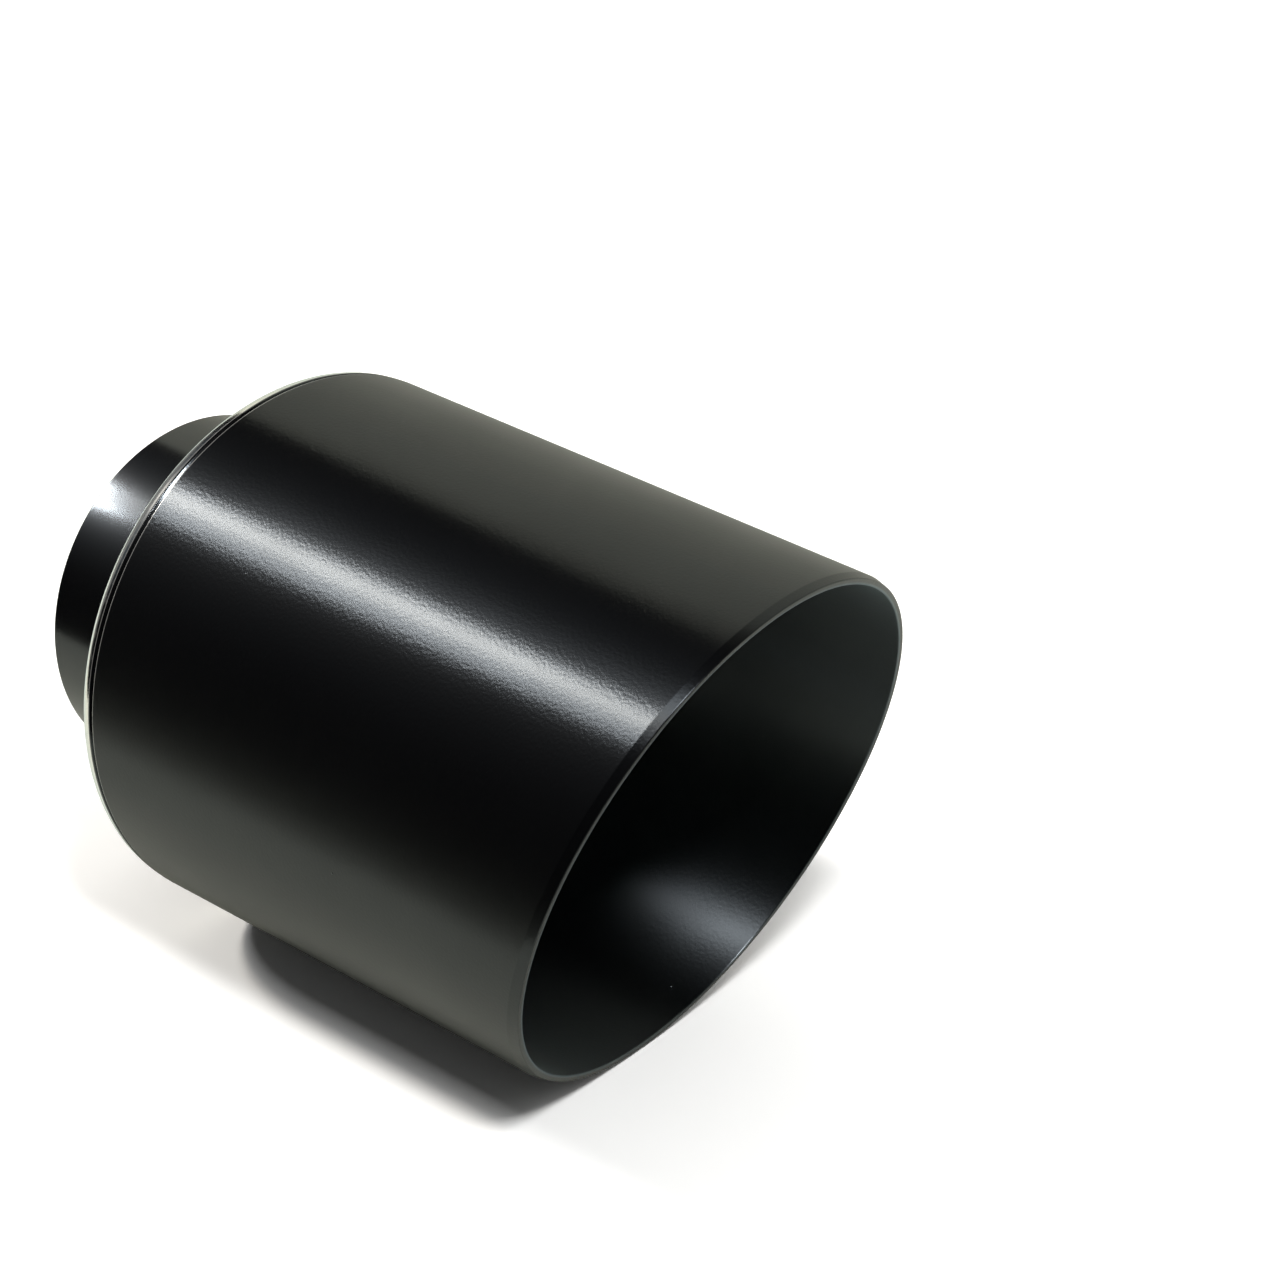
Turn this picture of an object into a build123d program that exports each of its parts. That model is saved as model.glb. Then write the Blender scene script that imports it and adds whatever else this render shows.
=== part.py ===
from build123d import *
import os

# Slash-cut exhaust tip: an outlet sleeve, the pressed ring cap that closes its back and the inlet collar
# welded into the cap. Millimetres. The tube axis lies along X from the inlet's rear end at the origin to
# the mouth, and Z is up.

os.makedirs("parts", exist_ok=True)

# Outlet sleeve: a length of four inch tube
outlet_diameter = 101.6
sleeve_wall = 1.7
sleeve_length = 104.2   # on the axis, from the seam to the mouth
cut_angle = 20.2        # the mouth's lean from a square cut
cut_clock = 20.2        # the long side, from straight up towards -Y
lip_run = 2.0           # the eased lip, along the outside of the tube
lip_drop = 0.5          # and across its wall

# Ring cap: pressed from sheet, with a short turned rim butted on the sleeve's rear edge
cap_wall = 1.6
cap_depth = 3.9         # from its rear face to the seam
cap_taper = 0.5         # how far the rim draws in from the seam to the rear corner
cap_round = 2.8         # the bend at the rear corner, on the outside
seam_bevel = 0.4        # each side of the seam between cap and sleeve

# Inlet collar: slips over a tail pipe and is welded or clamped to it
pipe_diameter = 63.5
pipe_clearance = 0.35
collar_wall = 1.5
collar_reach = 27.8     # behind the cap
collar_inset = 3.0      # past the cap's ring, into the sleeve
collar_bevel = 0.6      # its rear edge, on the outside

# Fillet weld between collar and cap
weld_leg = 3.5
seat_clearance = 0.1    # between round faces that sit in each other

sleeve_outer = outlet_diameter / 2
sleeve_inner = sleeve_outer - sleeve_wall
cap_outer = sleeve_outer - cap_taper
collar_inner = pipe_diameter / 2 + pipe_clearance
collar_outer = collar_inner + collar_wall

cap_rear = collar_reach
cap_front = cap_rear + cap_wall
seam = cap_rear + cap_depth
mouth = seam + sleeve_length
collar_length = cap_front + collar_inset
weld_root = collar_outer + seat_clearance

# The mouth's plane: turned about the tube to the long side, then leaned back from it
square_cut = Plane.YZ.offset(mouth)
mouth_plane = Plane(square_cut.location * Rotation(0, 0, cut_clock) * Rotation(cut_angle, 0, 0))

# The sleeve starts as tube long enough for any lean of the cut
with BuildPart() as outlet_sleeve:
    with BuildSketch(Plane.XZ):
        with Locations((seam, sleeve_inner)):
            Rectangle(sleeve_length + outlet_diameter, sleeve_wall, align=(Align.MIN, Align.MIN))
    revolve(axis=Axis.X)
    split(bisect_by=mouth_plane, keep=Keep.BOTTOM)
    rear_edges = outlet_sleeve.edges().filter_by(GeomType.CIRCLE)
    chamfer(rear_edges.sort_by(SortBy.RADIUS)[-1:], length=seam_bevel)
    lip_face = outlet_sleeve.faces().filter_by(mouth_plane)[0]
    tube_face = outlet_sleeve.faces().filter_by(GeomType.CYLINDER).sort_by(SortBy.AREA)[-1]
    chamfer(lip_face.outer_wire().edges(), length=lip_run, length2=lip_drop, reference=tube_face)

# The cap's section, from the seam round the rear corner to the collar's seat and back inside
with BuildPart() as end_cap:
    with BuildSketch(Plane.XZ) as cap_section:
        with BuildLine():
            Polyline(
                (seam, sleeve_outer),
                (cap_rear, cap_outer),
                (cap_rear, weld_root),
                (cap_front, weld_root),
                (cap_front, cap_outer - cap_wall),
                (seam, sleeve_outer - cap_wall),
                close=True,
            )
        make_face()
        inner_corner = cap_section.vertices().group_by(Axis.X)[1].sort_by(Axis.Y)[-1]
        chamfer(inner_corner, length=cap_round - cap_wall)
        seam_corner = cap_section.vertices().group_by(Axis.X)[-1].sort_by(Axis.Y)[-1]
        chamfer(seam_corner, length=seam_bevel)
        rear_corner = cap_section.vertices().group_by(Axis.X)[0].sort_by(Axis.Y)[-1]
        fillet(rear_corner, radius=cap_round)
    revolve(axis=Axis.X)

# The collar is plain tube with its rear edge broken
with BuildPart() as inlet_collar:
    with BuildSketch(Plane.XZ) as collar_section:
        with Locations((0, collar_inner)):
            Rectangle(collar_length, collar_wall, align=(Align.MIN, Align.MIN))
        chamfer(collar_section.vertices().group_by(Axis.X)[0].sort_by(Axis.Y)[-1], length=collar_bevel)
    revolve(axis=Axis.X)

with BuildPart() as collar_weld:
    with BuildSketch(Plane.XZ):
        with BuildLine():
            Polyline(
                (cap_rear, weld_root + weld_leg),
                (cap_rear, weld_root),
                (cap_rear - weld_leg, weld_root),
                close=True,
            )
        make_face()
    revolve(axis=Axis.X)

outlet_sleeve.part.label = "outlet_sleeve"
export_step(outlet_sleeve.part, "parts/outlet_sleeve.step")
end_cap.part.label = "end_cap"
export_step(end_cap.part, "parts/end_cap.step")
inlet_collar.part.label = "inlet_collar"
export_step(inlet_collar.part, "parts/inlet_collar.step")
collar_weld.part.label = "collar_weld"
export_step(collar_weld.part, "parts/collar_weld.step")
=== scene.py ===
from math import cos, hypot, pi, radians, sin, tan

import bmesh
import bpy
from mathutils import Matrix, Vector


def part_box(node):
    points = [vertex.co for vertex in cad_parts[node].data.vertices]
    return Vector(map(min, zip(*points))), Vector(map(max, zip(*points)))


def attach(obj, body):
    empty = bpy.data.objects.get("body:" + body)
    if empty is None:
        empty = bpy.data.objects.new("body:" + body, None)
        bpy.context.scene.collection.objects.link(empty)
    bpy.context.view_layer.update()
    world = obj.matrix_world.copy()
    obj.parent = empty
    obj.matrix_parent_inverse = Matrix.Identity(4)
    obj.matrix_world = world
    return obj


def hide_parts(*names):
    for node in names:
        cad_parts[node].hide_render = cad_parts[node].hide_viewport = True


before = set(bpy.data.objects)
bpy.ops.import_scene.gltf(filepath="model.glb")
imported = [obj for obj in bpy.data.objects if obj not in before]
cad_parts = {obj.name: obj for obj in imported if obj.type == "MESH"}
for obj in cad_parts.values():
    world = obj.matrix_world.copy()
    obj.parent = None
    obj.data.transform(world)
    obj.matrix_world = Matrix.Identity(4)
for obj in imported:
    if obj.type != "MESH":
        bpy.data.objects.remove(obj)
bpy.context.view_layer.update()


# Outlet sleeve: a length of four inch stainless tube, sawn on a slant for the mouth. Its outer lip is eased
# with a grinder, its rear edge is bevelled for the seam, and the whole is powder coated black.
mm = 0.001
sleeve_low, sleeve_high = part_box("outlet_sleeve")
seam = sleeve_low.x
sleeve_outer = sleeve_high.z
sleeve_wall = 1.7 * mm
sleeve_inner = sleeve_outer - sleeve_wall
sleeve_length = 104.2 * mm
mouth = seam + sleeve_length
cut_angle = 20.2
cut_clock = 20.2
cut_slope = tan(radians(cut_angle))
long_side = radians(90 + cut_clock)
lip_run = 2.0 * mm
lip_drop = 0.5 * mm
lip_blend = 1.2 * mm
seam_bevel = 0.4 * mm
seam_edge = 0.1 * mm
bevel_blend = 0.25 * mm
sawn_edge = 0.15 * mm
tube_cells = 28
tube_sides = 480


def eased(corners, arc_steps=6):
    """Points of a closed outline whose corners (x, r, rounding, cells on the edge that follows) become arcs.
    A guard point just past each end of an arc keeps the flat beside it flat under smooth shading."""
    guard_share = 0.3
    guard_most = 0.2 * mm
    arcs = []
    for k, (x, r, rounding, _) in enumerate(corners):
        corner = Vector((x, r))
        to_last = (Vector(corners[k - 1][:2]) - corner).normalized()
        to_next = (Vector(corners[(k + 1) % len(corners)][:2]) - corner).normalized()
        half = to_last.angle(to_next) / 2
        reach = rounding / tan(half)
        centre = corner + (to_last + to_next).normalized() * (rounding / sin(half))
        start = corner + to_last * reach - centre
        end = corner + to_next * reach - centre
        turned_by = pi - 2 * half
        guard = reach + min(guard_share * rounding, guard_most)
        arc = [corner + to_last * guard]
        for step in range(arc_steps + 1):
            share = turned_by * step / arc_steps
            arc.append(centre + (start * sin(turned_by - share) + end * sin(share)) / sin(turned_by))
        arc.append(corner + to_next * guard)
        arcs.append(arc)
    points = []
    for k, arc in enumerate(arcs):
        points += arc
        cells = corners[k][3]
        following = arcs[(k + 1) % len(arcs)][0]
        points += [arc[-1].lerp(following, step / cells) for step in range(1, cells)]
    return points


def turned_ring(name, section, sides):
    """A closed ring about the tube axis from section(turn), its outline at each angle from +Y towards +Z."""
    form = bmesh.new()
    outlines = []
    for side in range(sides):
        turn = 2 * pi * side / sides
        outlines.append([form.verts.new((x, r * cos(turn), r * sin(turn))) for x, r in section(turn)])
    for side, outline in enumerate(outlines):
        following = outlines[(side + 1) % sides]
        for k in range(len(outline)):
            face = form.faces.new((outline[k - 1], outline[k], following[k], following[k - 1]))
            face.smooth = True
    bmesh.ops.recalc_face_normals(form, faces=form.faces)
    mesh = bpy.data.meshes.new(name)
    form.to_mesh(mesh)
    form.free()
    piece = bpy.data.objects.new(name, mesh)
    bpy.context.collection.objects.link(piece)
    return piece


def sleeve_section(turn):
    """The sleeve's wall where the slanted mouth cuts it at this angle."""
    lean = cut_slope * cos(turn - long_side)
    twist = cut_slope * sin(turn - long_side)
    run = lip_run * hypot(1, twist)
    lip_outer = sleeve_outer - lip_drop / hypot(1, lean)
    return eased([
        (seam, sleeve_inner, sawn_edge, tube_cells),
        (mouth + lean * sleeve_inner, sleeve_inner, 0.2 * mm, 1),
        (mouth + lean * lip_outer, lip_outer, 0.22 * mm, 1),
        (mouth + lean * sleeve_outer - run, sleeve_outer, lip_blend, tube_cells),
        (seam + seam_bevel, sleeve_outer, bevel_blend, 1),
        (seam, sleeve_outer - seam_bevel, seam_edge, 1),
    ])


sleeve = turned_ring("sleeve_tube", sleeve_section, tube_sides)


def linear(hex_colour):
    """An sRGB hex colour as linear red, green, blue and alpha."""
    channels = [int(hex_colour[k:k + 2], 16) / 255 for k in (1, 3, 5)]
    return [c / 12.92 if c <= 0.04045 else ((c + 0.055) / 1.055) ** 2.4 for c in channels] + [1]


def add_node(tree, kind, settings={}, inputs={}):
    """Adds a shader node, sets it up, and gives each named input a value or a link."""
    node = tree.nodes.new("ShaderNode" + kind)
    for setting, value in settings.items():
        setattr(node, setting, value)
    for socket, value in inputs.items():
        if isinstance(value, bpy.types.NodeSocket):
            tree.links.new(value, node.inputs[socket])
        else:
            node.inputs[socket].default_value = value
    return node


# Fine lines left in the steel spread a highlight across themselves: lines round the tube draw it out along
# the axis, and lines along the tube spread it round. These are the turns of the stretch for each.
lines_round_tube = 0.25
lines_along_tube = 0.0


def powder_coat(name, roughness, stretch, peel, bore=(0.0, 1.0), bare=(0.0, 0.0, 0.0), lines=lines_round_tube):
    """Black powder coat baked on steel: the melt leaves a fine orange peel that frays the edges of reflections,
    gloss drifts a little from place to place, and a few specks of dust are caught under the skin. Lines in the
    steel below stretch the highlights. Inside the bore (radius, roughness factor) only overspray dulls the
    steel, and along an edge (from, to, radius) the coat has drawn back and bright steel shows."""
    drift_size = 35 * mm
    gloss_drift = 0.06
    mottle_size = 1.5 * mm
    thinnest_bare = 0.93
    peel_size = 0.65 * mm
    speck_spacing = 9 * mm
    nib_core = 0.126 * mm
    nib_foot = 0.306 * mm
    nib_height = 0.06 * mm
    bore_radius, bore_dulling = bore
    bare_from, bare_to, bare_radius = bare
    material = bpy.data.materials.new(name)
    material.use_nodes = True
    tree = material.node_tree
    tree.nodes.clear()
    place = add_node(tree, "TexCoord").outputs["Object"]
    along = add_node(tree, "SeparateXYZ", inputs={"Vector": place}).outputs["X"]
    across = add_node(tree, "VectorMath", {"operation": "MULTIPLY"}, {0: place, 1: (0, 1, 1)})
    radius = add_node(tree, "VectorMath", {"operation": "LENGTH"}, {0: across.outputs["Vector"]}).outputs["Value"]
    drift = add_node(tree, "TexNoise", inputs={"Vector": place, "Scale": 1 / drift_size, "Detail": 3.0})
    mottle = add_node(tree, "TexNoise", inputs={"Vector": place, "Scale": 1 / mottle_size, "Detail": 2.0})

    # Bright steel along an edge, fading into the coat on each side
    behind = add_node(tree, "MapRange", {"interpolation_type": "SMOOTHSTEP"}, {
        "Value": along, "From Min": bare_from, "From Max": bare_from + 0.1 * mm})
    ahead = add_node(tree, "MapRange", {"interpolation_type": "SMOOTHSTEP"}, {
        "Value": along, "From Min": bare_to - 0.25 * mm, "From Max": bare_to, "To Min": 1.0, "To Max": 0.0})
    outside = add_node(tree, "MapRange", {"interpolation_type": "SMOOTHSTEP"}, {
        "Value": radius, "From Min": bare_radius, "From Max": bare_radius + 0.15 * mm})
    edge = add_node(tree, "Math", {"operation": "MULTIPLY"}, {
        0: behind.outputs["Result"], 1: ahead.outputs["Result"]})
    edge = add_node(tree, "Math", {"operation": "MULTIPLY"}, {
        0: edge.outputs["Value"], 1: outside.outputs["Result"]})
    patchy = add_node(tree, "MapRange", inputs={
        "Value": mottle.outputs["Fac"], "From Min": 0.25, "From Max": 0.5, "To Min": thinnest_bare, "To Max": 1.0})
    edge = add_node(tree, "Math", {"operation": "MULTIPLY"}, {
        0: edge.outputs["Value"], 1: patchy.outputs["Result"]}).outputs["Value"]
    inside = add_node(tree, "MapRange", {"interpolation_type": "SMOOTHSTEP"}, {
        "Value": radius, "From Min": bore_radius, "From Max": bore_radius + 0.4 * mm,
        "To Min": 1.0, "To Max": 0.0}).outputs["Result"]
    bared = add_node(tree, "Math", {"operation": "MAXIMUM"}, {0: edge, 1: inside})

    # Colour: pigment, then oversprayed steel in the bore, then bright steel
    tone = add_node(tree, "Mix", {"data_type": "RGBA"}, {
        "Factor": drift.outputs["Fac"], 6: linear("#030304"), 7: linear("#060607")})
    tone = add_node(tree, "Mix", {"data_type": "RGBA"}, {
        "Factor": inside, 6: tone.outputs[2], 7: linear("#62676b")})
    tone = add_node(tree, "Mix", {"data_type": "RGBA"}, {
        "Factor": edge, 6: tone.outputs[2], 7: linear("#f0eee9")})

    gloss = add_node(tree, "MapRange", inputs={
        "Value": drift.outputs["Fac"], "From Min": 0.3, "From Max": 0.7,
        "To Min": roughness * (1 - gloss_drift), "To Max": roughness * (1 + gloss_drift)})
    duller = add_node(tree, "MapRange", inputs={"Value": inside, "To Min": 1.0, "To Max": bore_dulling})
    gloss = add_node(tree, "Math", {"operation": "MULTIPLY"}, {
        0: gloss.outputs["Result"], 1: duller.outputs["Result"]})

    # Relief: orange peel, and nibs of dust under the skin
    skin = add_node(tree, "TexNoise", inputs={"Vector": place, "Scale": 1 / peel_size, "Detail": 2.0})
    specks = add_node(tree, "TexVoronoi", {"feature": "F1"}, {"Vector": place, "Scale": 1 / speck_spacing})
    nib = add_node(tree, "MapRange", {"interpolation_type": "SMOOTHSTEP"}, {
        "Value": specks.outputs["Distance"], "From Min": nib_core / speck_spacing,
        "From Max": nib_foot / speck_spacing, "To Min": 1.0, "To Max": 0.0})
    flow = add_node(tree, "Bump", inputs={"Strength": 1.0, "Distance": peel, "Height": skin.outputs["Fac"]})
    relief = add_node(tree, "Bump", inputs={
        "Strength": 1.0, "Distance": nib_height, "Height": nib.outputs["Result"],
        "Normal": flow.outputs["Normal"]}).outputs["Normal"]

    round_axis = add_node(tree, "Tangent", {"direction_type": "RADIAL", "axis": "X"})
    coat = add_node(tree, "BsdfPrincipled", inputs={
        "Base Color": tone.outputs[2], "Metallic": bared.outputs["Value"], "Roughness": gloss.outputs["Value"],
        "Specular Tint": linear("#e9f5ff"), "Anisotropic": stretch, "Anisotropic Rotation": lines,
        "Coat Weight": 0.05, "Coat Roughness": 0.45, "Normal": relief, "Coat Normal": relief,
        "Tangent": round_axis.outputs["Tangent"]})
    add_node(tree, "OutputMaterial", inputs={"Surface": coat.outputs["BSDF"]})
    return material


# Semi-gloss on belt-polished tube: a lamp shows as one long frayed streak, the bore has a dull steel sheen, and
# a bright thread of steel runs along the seam.
sleeve.data.materials.append(powder_coat(
    "black powder coat, baked semi-gloss on tube", roughness=0.30, stretch=0.985, peel=0.019 * mm,
    bore=(sleeve_inner + 0.2 * mm, 1.2),
    bare=(seam - 0.2 * mm, seam + 0.6 * mm, sleeve_outer - 0.45 * mm)))
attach(sleeve, "root")
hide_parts("outlet_sleeve")


# Ring cap: pressed from stainless sheet with a short turned rim, butted on the sleeve's rear edge and seam
# welded from inside, so that only a fine groove shows. It is coated with the sleeve.
cap_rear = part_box("end_cap")[0].x
cap_wall = 1.6 * mm
cap_bend = 2.8 * mm
cap_taper = 0.5 * mm
cap_outer = sleeve_outer - cap_taper
cap_arc_steps = 10
rim_slope = cap_taper / (seam - cap_rear)
collar_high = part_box("inlet_collar")[1]
seat_clearance = 0.1 * mm
seat = collar_high.z + seat_clearance


def cap_section(turn):
    """The pressed ring's sheet, from the seam round its bend to the collar's seat and back inside."""
    return eased([
        (seam, sleeve_outer - seam_bevel, seam_edge, 1),
        (seam - seam_bevel, sleeve_outer - seam_bevel * rim_slope, bevel_blend, 2),
        (cap_rear, cap_outer, cap_bend, 8),
        (cap_rear, seat, sawn_edge, 1),
        (cap_rear + cap_wall, seat, sawn_edge, 8),
        (cap_rear + cap_wall, cap_outer - cap_wall, cap_bend - cap_wall, 1),
        (seam, sleeve_outer - cap_wall, sawn_edge, 1),
    ], cap_arc_steps)


cap = turned_ring("rear_cap", cap_section, tube_sides)
# Smoother on pressed sheet, and drawn back from the bend: bright steel shows there as a line round the rim.
cap.data.materials.append(powder_coat(
    "black powder coat, baked semi-gloss on pressed sheet", roughness=0.12, stretch=0.0, peel=0.004 * mm,
    bare=(cap_rear - 0.2 * mm, cap_rear + 3.2 * mm, cap_outer - 1.2 * mm)))
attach(cap, "root")
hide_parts("end_cap")


# Inlet collar: a short length of plain drawn tube that the tail pipe slips into, pushed through the cap and
# welded. Its rear edge is broken, and its coat lies smoother than the sleeve's.
collar_end = collar_high.x
collar_outer = collar_high.z
collar_wall = 1.5 * mm
collar_bore = collar_outer - collar_wall
collar_edge = 0.3 * mm
collar_sides = 360
rear_bevel = 0.6 * mm


def collar_section(turn):
    """The collar's wall, with every sharp edge broken."""
    return eased([
        (0, collar_bore, collar_edge, 8),
        (collar_end, collar_bore, collar_edge, 1),
        (collar_end, collar_outer, collar_edge, 8),
        (rear_bevel, collar_outer, 0.5 * mm, 1),
        (0, collar_outer - rear_bevel, 0.25 * mm, 1),
    ])


collar = turned_ring("inlet_neck", collar_section, collar_sides)
# Glossy and levelled almost flat: a lamp shows as a compact spot, softened round the tube by the drawing
# die's lines along it.
collar.data.materials.append(powder_coat(
    "black powder coat, baked glossy on drawn tube", roughness=0.107, stretch=0.95, peel=0.00003 * mm,
    lines=lines_along_tube))
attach(collar, "root")
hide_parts("inlet_collar")


# Collar weld: the fillet laid round the neck where it enters the cap. Each dip of the filler rod leaves one
# crescent ripple, and the coat over it rounds the ripples off.
weld_low, weld_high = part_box("collar_weld")
weld_leg = cap_rear - weld_low.x
weld_top = weld_high.z
ripple_pitch = 3.6 * mm
ripples = round(2 * pi * weld_top / ripple_pitch)
ripple_height = 0.22 * mm
ripple_sharpness = 0.6
ripple_middle = 0.6
crescent_sweep = 2.2
steps_in_ripple = 10
bead_swell = 0.45 * mm
bead_steps = 14
outward = 0.7   # of the swell along each leg, as the bead's face stands at 45 degrees


def weld_section(turn):
    """The bead's section: two flat legs and a swollen face whose height follows the ripples."""
    points = [(cap_rear, seat)]
    for step in range(bead_steps + 1):
        across = step / bead_steps
        crown = sin(pi * across)
        crescent = turn * ripples - crescent_sweep * crown
        ripple = (0.5 + 0.5 * cos(crescent)) ** ripple_sharpness - ripple_middle
        height = crown * (bead_swell + ripple_height * ripple)
        x = cap_rear - weld_leg * across
        r = weld_top + (seat - weld_top) * across
        points.append((x - height * outward, r + height * outward))
    return points


weld = turned_ring("neck_weld", weld_section, ripples * steps_in_ripple)
# Thicker over the bead: each ripple keeps one soft glint.
weld.data.materials.append(powder_coat(
    "black powder coat, baked over a weld bead", roughness=0.24, stretch=0.0, peel=0.01 * mm))
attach(weld, "root")
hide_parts("collar_weld")


# Photographer's table: a sheet of white card that the tip lies on, its front edge along the table's edge,
# swept up behind into a backdrop.
table = -sleeve_outer
sheet_front = -0.126
sheet_bend = 0.45
bend_radius = 0.15
bend_steps = 16
sheet_top = 1.5
sheet_left = -1.3
sheet_right = 1.0
profile = [(sheet_front, table), (sheet_bend, table)]
for step in range(1, bend_steps + 1):
    swept = pi / 2 * step / bend_steps
    profile.append((sheet_bend + bend_radius * sin(swept), table + bend_radius * (1 - cos(swept))))
profile.append((sheet_bend + bend_radius, sheet_top))
form = bmesh.new()
edges = [[form.verts.new((x, y, z)) for y, z in profile] for x in (sheet_left, sheet_right)]
for k in range(len(profile) - 1):
    form.faces.new((edges[0][k], edges[1][k], edges[1][k + 1], edges[0][k + 1])).smooth = True
sheet_mesh = bpy.data.meshes.new("white_sheet")
form.to_mesh(sheet_mesh)
form.free()
sheet = bpy.data.objects.new("white_sheet", sheet_mesh)
bpy.context.collection.objects.link(sheet)

# Uncoated card scatters evenly, with no shine. It is lifted to white for the camera alone, and a mirror sees
# it a little darker and warmer.
card_white = linear("#f3f3f2")
card_mirrored = linear("#cfd1c4")
card_lift = 1.361
card = bpy.data.materials.new("white card, matt")
card.use_nodes = True
tree = card.node_tree
tree.nodes.clear()
seen = add_node(tree, "LightPath")
whiteness = add_node(tree, "Mix", {"data_type": "RGBA"}, {
    "Factor": seen.outputs["Is Camera Ray"], 6: card_white, 7: [c * card_lift for c in card_white[:3]] + [1]})
dimmed = add_node(tree, "Mix", {"data_type": "RGBA"}, {
    "Factor": seen.outputs["Is Glossy Ray"], 6: whiteness.outputs[2], 7: card_mirrored})
matt = add_node(tree, "BsdfDiffuse", inputs={"Color": dimmed.outputs[2]})
add_node(tree, "OutputMaterial", inputs={"Surface": matt.outputs["BSDF"]})
sheet.data.materials.append(card)


# Studio light: a softbox high behind the inlet, with a warm core and a wider, weaker skirt, draws the
# highlights on sleeve and collar. A square lamp above the mouth lights the bore's near end and the table.
softbox_distance = 2.2
softbox_front = Vector((-0.7015, -0.265, 0.6555)).normalized() * softbox_distance
softbox_back = Vector((-0.745, -0.2455, 0.6075)).normalized() * softbox_distance
softbox_length = (softbox_front - softbox_back).length
along = (softbox_front - softbox_back).normalized()
middle = (softbox_front + softbox_back) / 2
facing = (middle - along * middle.dot(along)).normalized()
across = facing.cross(along)
softbox_turn = Matrix((along, across, facing)).transposed().to_4x4()
for name, width, shift, radiance, tint in (
        ("softbox_core", 0.16, 0.0, 187.0, "#fff5e7"),
        ("softbox_skirt", 0.44, 0.06, 112.0, "#ffffff")):
    softbox = bpy.data.lights.new(name, "AREA")
    softbox.shape = "RECTANGLE"
    softbox.size = softbox_length
    softbox.size_y = width
    softbox.energy = radiance * pi * softbox_length * width
    softbox.color = linear(tint)[:3]
    stand = bpy.data.objects.new(name, softbox)
    bpy.context.collection.objects.link(stand)
    stand.matrix_world = Matrix.Translation(middle - across * shift) @ softbox_turn

lamp_distance = 1.3
lamp_side = 0.22
lamp_radiance = 66.0
lamp_place = Vector((0.60, -0.30, 0.84)).normalized() * lamp_distance
lamp = bpy.data.lights.new("overhead_lamp", "AREA")
lamp.shape = "SQUARE"
lamp.size = lamp_side
lamp.energy = lamp_radiance * pi * lamp_side ** 2
lamp_stand = bpy.data.objects.new("overhead_lamp", lamp)
bpy.context.collection.objects.link(lamp_stand)
lamp_stand.location = lamp_place
lamp_stand.rotation_euler = lamp_place.to_track_quat("Z", "Y").to_euler()


# Inlet flag: a disc of black velvet set in the collar, as a photographer closes a tube against light from
# behind. The camera does not see it.
flag_gap = 0.2 * mm
flag_inset = 1.0 * mm
flag_segments = 64
flag_mesh = bpy.data.meshes.new("inlet_flag")
form = bmesh.new()
bmesh.ops.create_circle(form, cap_ends=True, segments=flag_segments, radius=collar_bore - flag_gap)
form.to_mesh(flag_mesh)
form.free()
flag = bpy.data.objects.new("inlet_flag", flag_mesh)
bpy.context.collection.objects.link(flag)
flag.location = (flag_inset, 0, 0)
flag.rotation_euler = (0, pi / 2, 0)
flag.visible_camera = False

# Velvet's pile traps light, so it is dead black with no shine.
velvet = bpy.data.materials.new("black velvet, dead matt")
velvet.use_nodes = True
pile = velvet.node_tree.nodes["Principled BSDF"]
pile.inputs["Base Color"].default_value = linear("#020202")
pile.inputs["Specular IOR Level"].default_value = 0.0
flag_mesh.materials.append(velvet)


# Studio room: pale overhead and behind for soft light, but dark to a mirror, with a faint glow round the
# softbox and a pale wall at the far left. The camera sees white past the sheet.
room_shade = 0.10
room_pale = 0.6
dark_wall = (0.001, 0.0015, 0.002, 1)
softbox_glow = (0.04, 0.055, 0.07, 1)
left_wall = (0.2, 0.2, 0.195, 1)
white = (1, 1, 1, 1)
world = bpy.data.worlds.new("studio room")
bpy.context.scene.world = world
world.use_nodes = True
tree = world.node_tree
tree.nodes.clear()
seen = add_node(tree, "LightPath")
way = add_node(tree, "TexCoord").outputs["Generated"]
height = add_node(tree, "VectorMath", {"operation": "DOT_PRODUCT"}, {0: way, 1: (0, 0.6, 0.8)})
pale = add_node(tree, "MapRange", {"interpolation_type": "SMOOTHSTEP"}, {
    "Value": height.outputs["Value"], "From Min": 0.35, "From Max": 0.65, "To Min": room_shade, "To Max": room_pale})
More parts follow.
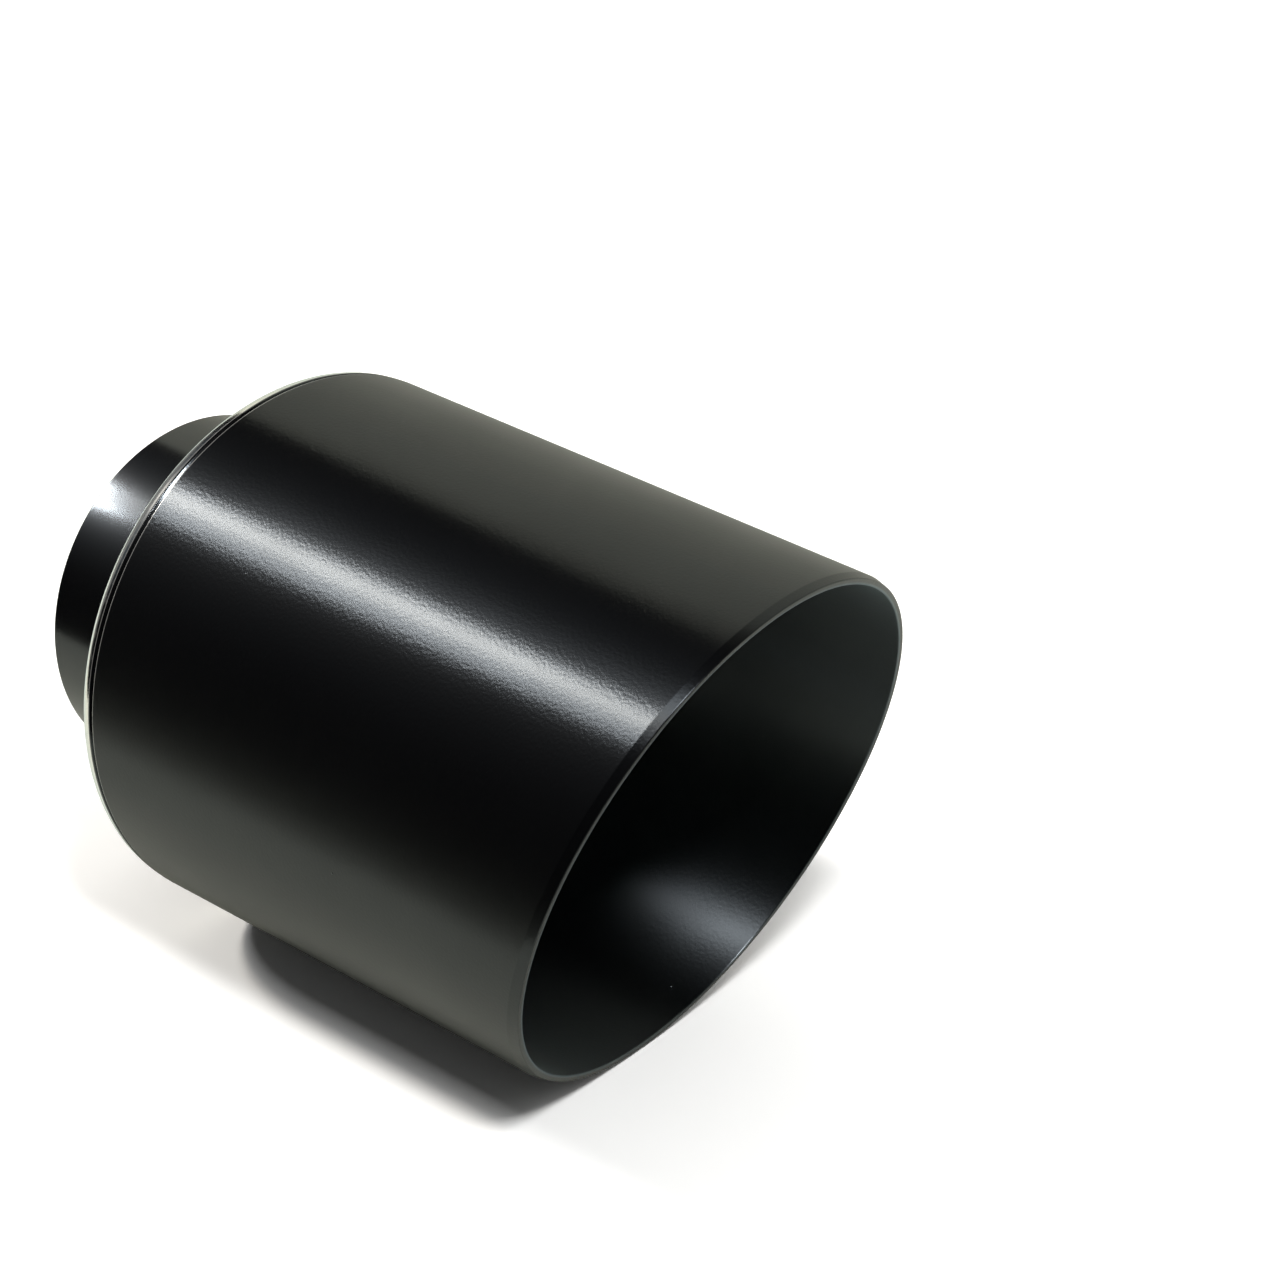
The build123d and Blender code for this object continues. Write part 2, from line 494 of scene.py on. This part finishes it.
nearness = add_node(tree, "VectorMath", {"operation": "DOT_PRODUCT"}, {0: way, 1: middle.normalized()})
halo = add_node(tree, "MapRange", {"interpolation_type": "SMOOTHSTEP"}, {
    "Value": nearness.outputs["Value"], "From Min": 0.8, "From Max": 1.02, "To Min": 0.0, "To Max": 1.0})
wall = add_node(tree, "Mix", {"data_type": "RGBA"}, {
    "Factor": halo.outputs["Result"], 6: dark_wall, 7: softbox_glow})
leftward = add_node(tree, "VectorMath", {"operation": "DOT_PRODUCT"}, {0: way, 1: (-1, 0, 0)})
far_left = add_node(tree, "MapRange", {"interpolation_type": "SMOOTHSTEP"}, {
    "Value": leftward.outputs["Value"], "From Min": 0.88, "From Max": 0.95, "To Min": 0.0, "To Max": 1.0})
wall = add_node(tree, "Mix", {"data_type": "RGBA"}, {
    "Factor": far_left.outputs["Result"], 6: wall.outputs[2], 7: left_wall})
room = add_node(tree, "Mix", {"data_type": "RGBA"}, {
    "Factor": seen.outputs["Is Glossy Ray"], 6: pale.outputs["Result"], 7: wall.outputs[2]})
backdrop = add_node(tree, "Mix", {"data_type": "RGBA"}, {
    "Factor": seen.outputs["Is Camera Ray"], 6: room.outputs[2], 7: white})
glow = add_node(tree, "Background", inputs={"Color": backdrop.outputs[2], "Strength": 1.0})
add_node(tree, "OutputWorld", inputs={"Surface": glow.outputs["Background"]})
bpy.context.scene.view_settings.view_transform = "Standard"


# Camera: a long lens from in front of the mouth, to its right, looking down on the tip. Its place, aim and
# focal length come from a fit to the tip's outlines.
camera_data = bpy.data.cameras.new("camera")
camera_data.sensor_width = 36.0
camera_data.lens = 132.58
camera_data.clip_start = 0.05
camera = bpy.data.objects.new("camera", camera_data)
bpy.context.collection.objects.link(camera)
camera.location = (0.61534, -0.50836, 0.39610)
yaw = radians(134.37366)
pitch = radians(-27.19261)
sight = Vector((cos(yaw) * cos(pitch), sin(yaw) * cos(pitch), sin(pitch)))
camera.rotation_euler = sight.to_track_quat("-Z", "Y").to_euler()
bpy.context.scene.camera = camera
